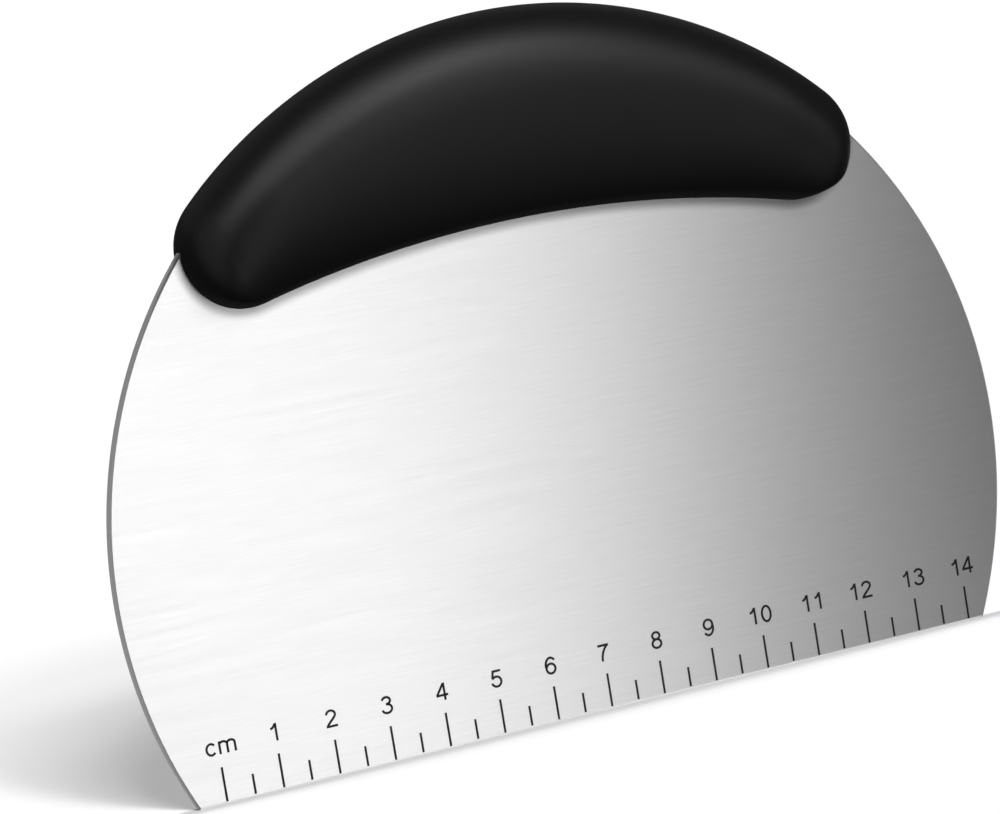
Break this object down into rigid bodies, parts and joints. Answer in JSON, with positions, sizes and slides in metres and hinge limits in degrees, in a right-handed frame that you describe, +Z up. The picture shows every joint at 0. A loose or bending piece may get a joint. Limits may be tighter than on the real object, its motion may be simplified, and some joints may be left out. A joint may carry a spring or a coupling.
{
  "type": "dough scraper",
  "caption": "Round-topped steel plate with a straight scraping edge and a crescent soft-grip handle moulded over its top, for cutting and scraping dough.",
  "frame": {"origin": "middle of the scraping edge, halfway through the blade's thickness", "axes": "+X along the scraping edge, as the scale reads; +Y through the blade, away from the face with the scale; +Z up the blade to the handle"},
  "size_m": [0.1634, 0.02, 0.1192],
  "materials": {
    "blade_steel": "stainless, brushed along the scraping edge",
    "core_plastic": "moulded, hidden inside the grip",
    "grip_rubber": "satin black, soft touch"
  },
  "bodies": {
    "root": {"blade": "blade_steel", "handle_core": "core_plastic", "grip_cover": "grip_rubber"}
  },
  "joints": []
}
